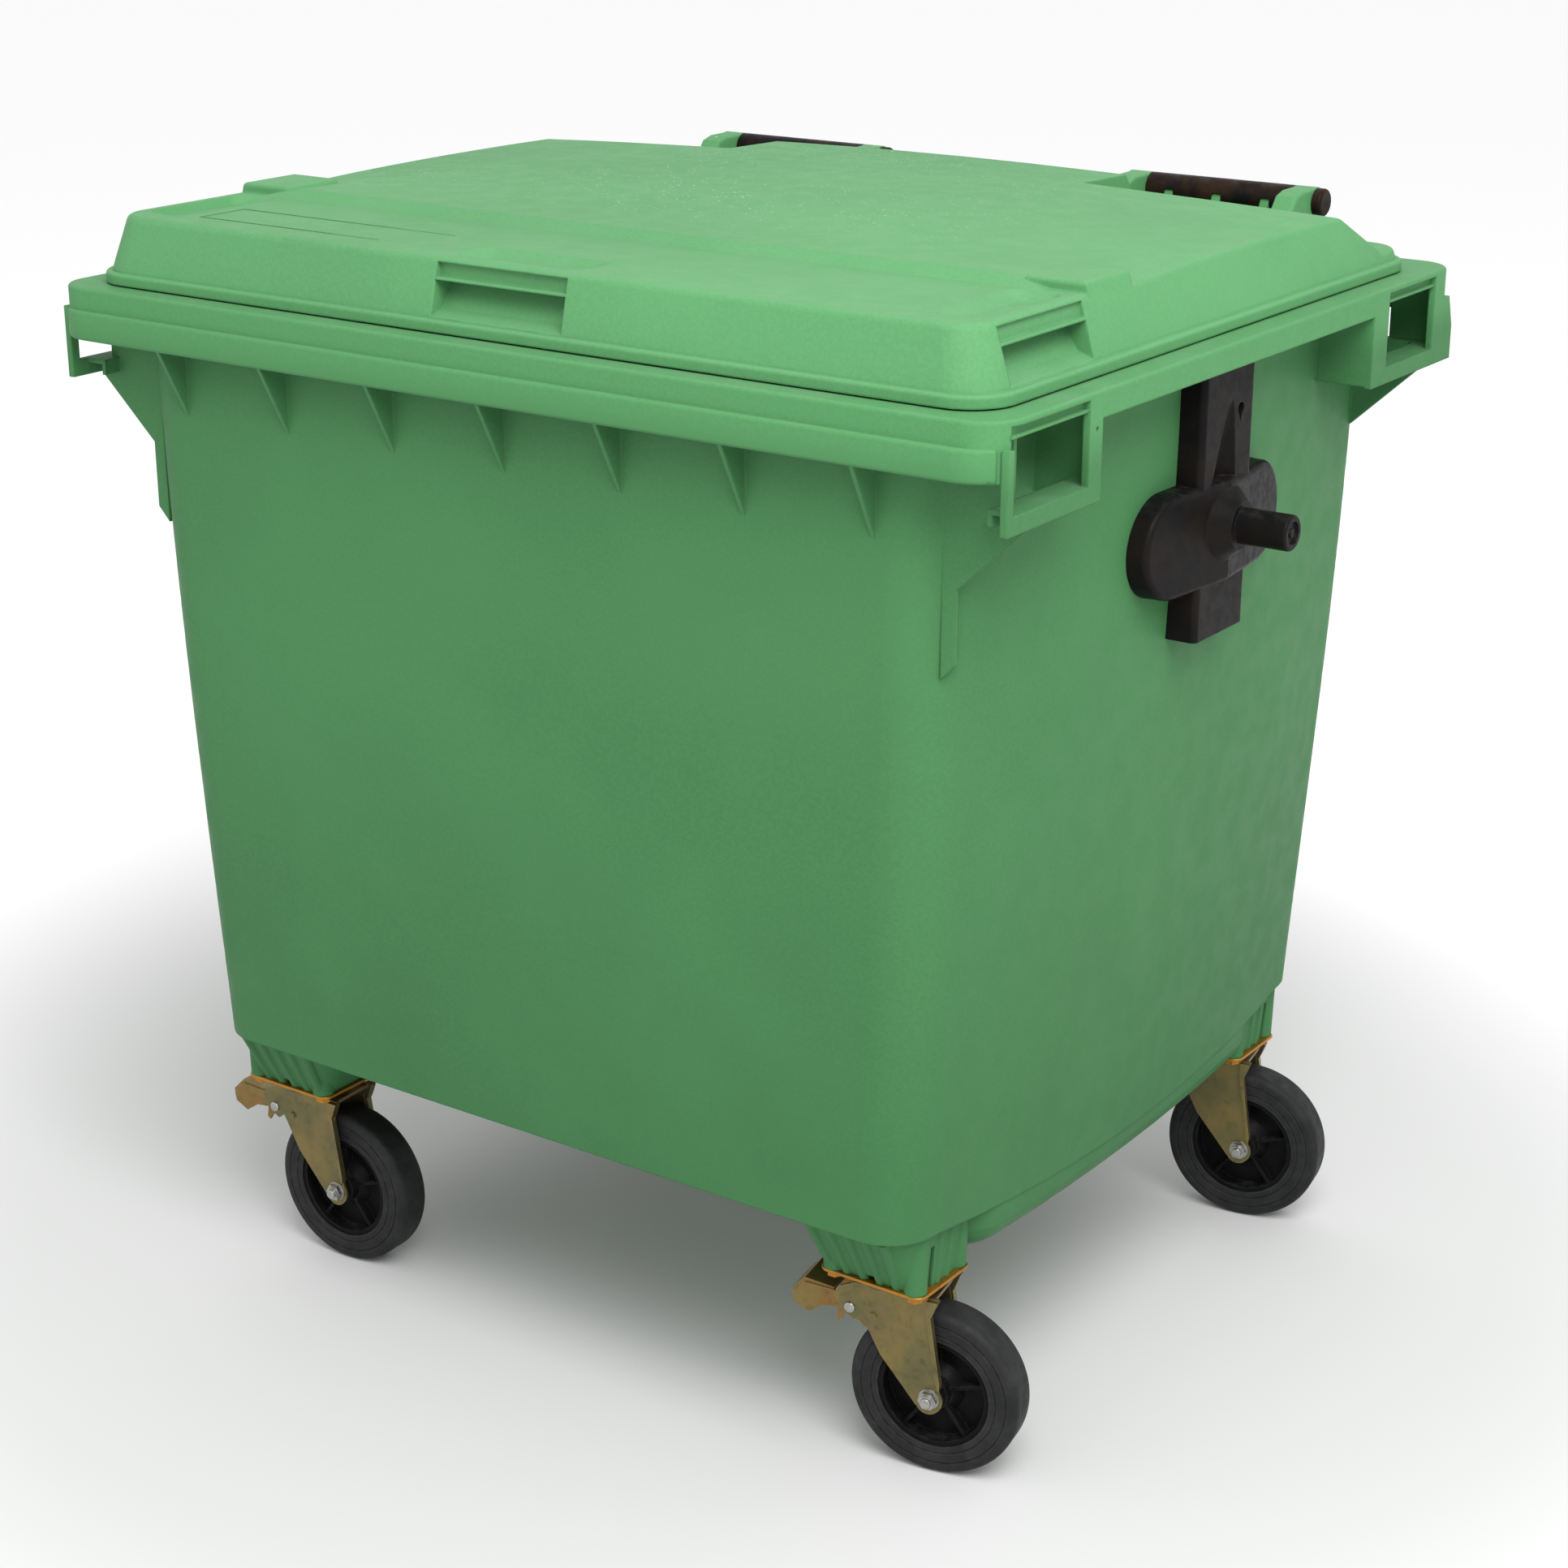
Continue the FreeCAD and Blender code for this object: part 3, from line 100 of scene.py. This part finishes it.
# ---------------------------------------------------------------- node helpers
class Material:
    """A principled material whose nodes are added by name; positions come from the piece itself."""

    def __init__(self, name):
        self.material = bpy.data.materials.new(name)
        self.material.use_nodes = True
        self.tree = self.material.node_tree
        self.shader = self.tree.nodes["Principled BSDF"]
        self.place = self.add("ShaderNodeTexCoord").outputs["Object"]

    def add(self, kind, **settings):
        made = self.tree.nodes.new(kind)
        for key, value in settings.items():
            setattr(made, key, value)
        return made

    def link(self, source, target):
        if hasattr(source, "links"):
            self.tree.links.new(source, target)
        else:
            target.default_value = source

    def noise(self, scale, detail=3.0, roughness=0.5, place=None):
        made = self.add("ShaderNodeTexNoise")
        self.link(place or self.place, made.inputs["Vector"])
        made.inputs["Scale"].default_value = scale
        made.inputs["Detail"].default_value = detail
        made.inputs["Roughness"].default_value = roughness
        return made.outputs["Fac"]

    def cells(self, scale):
        made = self.add("ShaderNodeTexVoronoi")
        self.link(self.place, made.inputs["Vector"])
        made.inputs["Scale"].default_value = scale
        return made

    def stretched(self, x, y, z):
        made = self.add("ShaderNodeMapping")
        self.link(self.place, made.inputs["Vector"])
        made.inputs["Scale"].default_value = (x, y, z)
        return made.outputs["Vector"]

    def math(self, operation, a, b):
        made = self.add("ShaderNodeMath", operation=operation)
        self.link(a, made.inputs[0])
        self.link(b, made.inputs[1])
        return made.outputs[0]

    def between(self, value, low, high, out_low=0.0, out_high=1.0):
        """Maps low..high of a value to out_low..out_high, smoothly and clamped."""
        made = self.add("ShaderNodeMapRange", interpolation_type="SMOOTHSTEP")
        self.link(value, made.inputs["Value"])
        limits = {"From Min": low, "From Max": high, "To Min": out_low, "To Max": out_high}
        for name, number in limits.items():
            made.inputs[name].default_value = number
        return made.outputs["Result"]

    def mix(self, share, a, b):
        made = self.add("ShaderNodeMix", data_type="RGBA")
        self.link(share, made.inputs["Factor"])
        for socket, colour in ((made.inputs[6], a), (made.inputs[7], b)):
            if hasattr(colour, "links"):
                self.link(colour, socket)
            else:
                socket.default_value = (*colour, 1.0)
        return made.outputs[2]

    def edges(self, radius):
        """0 on flat ground, rising to 1 where the surface turns over an edge within the radius."""
        soft = self.add("ShaderNodeBevel", samples=4)
        soft.inputs["Radius"].default_value = radius
        plain = self.add("ShaderNodeNewGeometry")
        dot = self.add("ShaderNodeVectorMath", operation="DOT_PRODUCT")
        self.link(soft.outputs["Normal"], dot.inputs[0])
        self.link(plain.outputs["Normal"], dot.inputs[1])
        return self.between(self.math("SUBTRACT", 1.0, dot.outputs["Value"]), 0.02, 0.25)

    def upwards(self):
        """1 on surfaces that face up, 0 on walls, in the piece's own frame."""
        normal = self.add("ShaderNodeTexCoord").outputs["Normal"]
        split = self.add("ShaderNodeSeparateXYZ")
        self.link(normal, split.inputs[0])
        return self.between(split.outputs["Z"], 0.55, 0.98)

    def place_along(self, part):
        """Coordinate along one axis of the piece's own frame."""
        split = self.add("ShaderNodeSeparateXYZ")
        self.link(self.place, split.inputs[0])
        return split.outputs[part]

    def relief(self, layers, rounding=0.0):
        """Bump from (height field, depth in metres) layers over a softly rounded normal."""
        normal = None
        if rounding:
            soft = self.add("ShaderNodeBevel", samples=4)
            soft.inputs["Radius"].default_value = rounding
            normal = soft.outputs["Normal"]
        for field, depth in layers:
            bump = self.add("ShaderNodeBump")
            bump.inputs["Strength"].default_value = 1.0
            bump.inputs["Distance"].default_value = depth
            self.link(field, bump.inputs["Height"])
            if normal:
                self.link(normal, bump.inputs["Normal"])
            normal = bump.outputs["Normal"]
        self.link(normal, self.shader.inputs["Normal"])

    def finish(self, colour, roughness, metallic=0.0, specular=0.5):
        self.link(colour, self.shader.inputs["Base Color"])
        self.link(roughness, self.shader.inputs["Roughness"])
        self.shader.inputs["Metallic"].default_value = metallic
        self.shader.inputs["Specular IOR Level"].default_value = specular
        return self.material


def shade(colour, factor):
    return tuple(min(1.0, c * factor) for c in colour)


# ---------------------------------------------------------------- materials
def moulded_green(name, base, dusty, speckled):
    """Grained polyethylene: flow patches, painted light on the rim, painted shade low on the walls, dust on
    what faces up, pale edges that are partly scuffing and partly painted highlight, fine scratches.
    """
    m = Material(name)
    patches = m.between(m.noise(2.2, 4.0, 0.55), 0.35, 0.68)
    colour = m.mix(patches, shade(base, 0.94), shade(base, 1.05))
    if not speckled:
        # painted light: the rim is made lighter than the walls under it, standing in for the brighter light
        # that falls on it from above
        rim_painted_light = m.between(m.place_along("Z"), RIM_LOW - 0.02, RIM_LOW + 0.035)
        colour = m.mix(rim_painted_light, colour, shade(base, 1.42))
    mottle = m.between(m.noise(240.0, 4.0, 0.65), 0.40, 0.62)
    colour = m.mix(m.math("MULTIPLY", mottle, 0.34), colour, shade(base, 1.16))
    # painted shade: blotchy darkening low on the walls, standing in for the dimmer light there
    low = m.between(m.place_along("Z"), LOW_SHADE_TOP, LOW_SHADE_BOTTOM)
    low_shade = m.math("MULTIPLY", low, m.between(m.noise(6.0, 5.0, 0.6), 0.30, 0.72, 0.55, 1.0))
    colour = m.mix(m.math("MULTIPLY", low_shade, 0.42), colour, shade(base, 0.62))
    # long faint scratches
    across = m.noise(1.0, 4.0, 0.6, m.stretched(9.0, 9.0, 260.0))
    scratch = m.math("MULTIPLY", m.between(across, 0.70, 0.76), m.between(m.noise(3.5, 2.0), 0.52, 0.66))
    colour = m.mix(m.math("MULTIPLY", scratch, 0.30), colour, shade(base, 1.5))
    # pale edges: partly scuffing and partly painted highlight, standing in for the top light catching the
    # rounded edges
    edge = m.edges(0.004)
    pale_edge = m.math("MULTIPLY", edge, m.between(m.noise(38.0, 4.0, 0.6), 0.32, 0.62, 0.15, 0.60))
    colour = m.mix(pale_edge, colour, shade(base, 1.40))
    settled = m.math("MULTIPLY", m.upwards(), m.between(m.noise(11.0, 6.0, 0.65), 0.36, 0.70, 0.25, 1.0))
    colour = m.mix(m.math("MULTIPLY", settled, dusty), colour, DUST)
    if speckled:
        # pale specks, thick on the crown's left and middle, thin towards its right end
        dots = m.cells(150.0)
        small = m.between(dots.outputs["Distance"], 0.25, 0.14)
        chosen = m.between(m.noise(137.0, 0.0), 0.55, 0.59)
        where = m.math("MULTIPLY", m.between(m.place_along("X"), SPECKS_END_X, SPECKS_FULL_X, 0.06, 1.0),
                       m.between(m.place_along("Y"), *SPECKS_FRONT_Y))
        where = m.math("MULTIPLY", where, m.between(m.noise(4.0, 3.0), 0.36, 0.58, 0.25, 1.0))
        spots = m.math("MULTIPLY", m.math("MULTIPLY", small, chosen), m.math("MULTIPLY", where, m.upwards()))
        colour = m.mix(m.math("MULTIPLY", spots, 0.75), colour, SPECK)
    grain = m.noise(1100.0, 2.0)
    peel = m.noise(210.0, 3.0)
    sink = m.noise(4.5, 1.0)
    rough = m.between(m.noise(30.0, 4.0), 0.3, 0.7, 0.44, 0.56)
    rough = m.math("ADD", rough, m.math("MULTIPLY", settled, 0.14))
    m.relief([(sink, 0.0024), (peel, 0.00018), (grain, 0.00016)], 0.0032)
    return m.finish(colour, rough, specular=0.07)


def moulded_black(name, base, gloss, brown):
    """Black glass-filled plastic with a brownish bloom and greyed, rubbed edges."""
    m = Material(name)
    bloom = m.between(m.noise(22.0, 4.0, 0.6), 0.36, 0.68)
    colour = m.mix(bloom, base, brown)
    edge = m.edges(0.0022)
    pale_edge = m.math("MULTIPLY", edge, m.between(m.noise(120.0, 3.0), 0.40, 0.62, 0.05, 0.5))
    colour = m.mix(pale_edge, colour, BLACK_WORN)
    settled = m.math("MULTIPLY", m.upwards(), m.between(m.noise(60.0, 4.0, 0.6), 0.42, 0.70))
    colour = m.mix(m.math("MULTIPLY", settled, 0.22), colour, BLACK_DUST)
    rough = m.between(m.noise(80.0, 4.0), 0.30, 0.70, gloss - 0.07, gloss + 0.09)
    m.relief([(m.noise(900.0, 2.0), 0.00018)], 0.0018)
    return m.finish(colour, rough, specular=0.05)


def tyre_rubber():
    """Solid rubber, greyed by the road on the tread and with dust in its rings."""
    m = Material("tyre_rubber")
    dusty = m.between(m.noise(28.0, 5.0, 0.65), 0.36, 0.70)
    colour = m.mix(m.math("MULTIPLY", dusty, 0.50), RUBBER, RUBBER_DUSTY)
    edge = m.edges(0.005)
    pale_edge = m.math("MULTIPLY", edge, m.between(m.noise(90.0, 3.0), 0.40, 0.65, 0.1, 0.6))
    colour = m.mix(pale_edge, colour, RUBBER_WORN)
    rough = m.between(m.noise(55.0, 4.0), 0.30, 0.70, 0.52, 0.72)
    m.relief([(m.noise(45.0, 3.0), 0.0006), (m.noise(700.0, 3.0), 0.0003)], 0.0008)
    return m.finish(colour, rough, specular=0.22)


def passivated_zinc(name, main, second, third):
    """Yellow chromate over pressed steel: gold turning olive and orange, with fine drawing marks."""
    m = Material(name)
    drift = m.between(m.noise(16.0, 4.0, 0.6), 0.36, 0.66)
    colour = m.mix(drift, main, second)
    flush = m.between(m.noise(34.0, 3.0, 0.6, m.stretched(1.0, 1.0, 0.45)), 0.54, 0.72)
    colour = m.mix(m.math("MULTIPLY", flush, 0.65), colour, third)
    soot = m.between(m.noise(70.0, 5.0, 0.65), 0.52, 0.76)
    colour = m.mix(m.math("MULTIPLY", soot, 0.45), colour, ZINC_SOOT)
    edge = m.edges(0.0016)
    colour = m.mix(m.math("MULTIPLY", edge, 0.4), colour, ZINC_EDGE)
    rough = m.between(m.noise(48.0, 5.0, 0.6), 0.30, 0.72, 0.30, 0.52)
    drawn = m.noise(1.0, 3.0, 0.6, m.stretched(60.0, 60.0, 900.0))
    m.relief([(drawn, 0.00010), (m.noise(160.0, 3.0), 0.00016)], 0.0007)
    return m.finish(colour, rough, metallic=0.82, specular=0.5)


def bright_steel():
    """Zinc-plated bolts, nuts, pins and balls, with turning marks and a little tarnish."""
    m = Material("bright_steel")
    tarnish = m.between(m.noise(120.0, 4.0, 0.6), 0.42, 0.72)
    colour = m.mix(m.math("MULTIPLY", tarnish, 0.55), STEEL, STEEL_TARNISH)
    rough = m.between(m.noise(90.0, 3.0), 0.3, 0.7, 0.22, 0.42)
    m.relief([(m.noise(600.0, 3.0), 0.00010)], 0.0006)
    return m.finish(colour, rough, metallic=0.95, specular=0.5)


def grey_race():
    """Pressed grey bearing ring with grease and dust on it."""
    m = Material("grey_race")
    dirt = m.between(m.noise(95.0, 4.0, 0.6), 0.36, 0.66)
    colour = m.mix(dirt, RACE_GREY, RACE_GREASE)
    rough = m.between(m.noise(70.0, 3.0), 0.3, 0.7, 0.38, 0.60)
    m.relief([(m.noise(500.0, 3.0), 0.00012)], 0.0006)
    return m.finish(colour, rough, metallic=0.75, specular=0.5)


def soft_seal():
    """Soft rubber ring under the drain plug."""
    m = Material("soft_seal")
    bloom = m.between(m.noise(70.0, 3.0), 0.4, 0.7)
    colour = m.mix(bloom, SEAL, SEAL_BLOOM)
    m.relief([(m.noise(800.0, 2.0), 0.00015)], 0.0006)
    return m.finish(colour, m.between(m.noise(60.0), 0.3, 0.7, 0.60, 0.78), specular=0.2)


# first words of a node's name, and its material
FINISHES = [
    (("container",), moulded_green("tub_green", TUB_GREEN, TUB_DUST, False)),
    # painted light: the lid gets the lighter copy of the green
    (("lid",), moulded_green("lid_green_lit", LID_GREEN_LIT, LID_DUST, True)),
    (("trunnion_bracket", "drain_plug"), moulded_black("bracket_black", BLACK, BLACK_GLOSS, BRACKET_BLOOM)),
    (("hinge_grip", "hinge_cap"), moulded_black("grip_black", BLACK, BLACK_GLOSS, GRIP_BLOOM)),
    (("wheel_rim",), moulded_black("rim_black", RIM_BLACK, RIM_GLOSS, RIM_BLOOM)),
    (("tyre",), tyre_rubber()),
    (("drain_seal",), soft_seal()),
    (("caster_plate", "caster_bolts"),
     passivated_zinc("plate_gold", ZINC_ORANGE, ZINC_AMBER, ZINC_RUST)),
    (("brake_pedal",), passivated_zinc("pedal_gold", ZINC_BROWN, ZINC_GOLD, ZINC_COPPER)),
    (("fork",), passivated_zinc("fork_gold", ZINC_GOLD, ZINC_OLIVE, ZINC_ROSE)),
    (("swivel_race",), grey_race()),
    (("trunnion_bolts", "hinge_pin", "swivel_balls", "kingpin", "axle", "brake_pin", "caster_nuts"),
     bright_steel()),
]


def dress(node, obj):
    for starts, material in FINISHES:
        if node.startswith(starts):
            obj.data.materials.clear()
            obj.data.materials.append(material)
            return
    raise ValueError("no finish for " + node)


for node_name, node_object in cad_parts.items():
    dress(node_name, node_object)


# ---------------------------------------------------------------- camera, floor and lights
def direction(azimuth, elevation):
    """Unit vector from the object towards a viewer or light at that angle."""
    a, e = math.radians(azimuth), math.radians(elevation)
    return Vector((math.sin(a) * math.cos(e), -math.cos(a) * math.cos(e), math.sin(e)))


def add_camera():
    data = bpy.data.cameras.new("camera")
    data.lens = CAMERA_LENS
    data.sensor_width = SENSOR
    camera = bpy.data.objects.new("camera", data)
    camera.location = CAMERA_AT
    camera.rotation_mode = "QUATERNION"
    camera.rotation_quaternion = (-direction(CAMERA_AZIMUTH, CAMERA_ELEVATION)).to_track_quat("-Z", "Y")
    bpy.context.scene.collection.objects.link(camera)
    bpy.context.scene.camera = camera


def add_floor():
    mesh = bpy.data.meshes.new("floor")
    h = FLOOR_HALF
    mesh.from_pydata([(-h, -h, 0), (h, -h, 0), (h, h, 0), (-h, h, 0)], [], [(0, 1, 2, 3)])
    floor = bpy.data.objects.new("floor", mesh)
    bpy.context.scene.collection.objects.link(floor)
    # painted shade: the floor is darker near the middle, dimming the light it bounces onto the walls, and
    # white further out
    m = Material("floor_shaded_near")
    reach = m.add("ShaderNodeVectorMath", operation="LENGTH")
    m.link(m.place, reach.inputs[0])
    far = m.between(reach.outputs["Value"], *FLOOR_FADE)
    m.finish(m.mix(far, FLOOR_NEAR_SHADED, FLOOR_FAR), 0.9, specular=0.2)
    mesh.materials.append(m.material)


def add_lights():
    middle = (cad_low + cad_high) / 2
    for name, azimuth, elevation, distance, size, power in LIGHTS:
        data = bpy.data.lights.new(name, "AREA")
        data.size = size
        data.energy = power
        lamp = bpy.data.objects.new(name, data)
        lamp.location = middle + direction(azimuth, elevation) * distance
        lamp.rotation_mode = "QUATERNION"
        lamp.rotation_quaternion = (middle - lamp.location).to_track_quat("-Z", "Y")
        bpy.context.scene.collection.objects.link(lamp)
    world = bpy.data.worlds.new("studio")
    world.use_nodes = True
    background = world.node_tree.nodes["Background"]
    background.inputs["Color"].default_value = (*WORLD_COLOUR, 1.0)
    background.inputs["Strength"].default_value = WORLD_STRENGTH
    bpy.context.scene.world = world
    bpy.context.scene.view_settings.view_transform = "Standard"


add_camera()
add_floor()
add_lights()
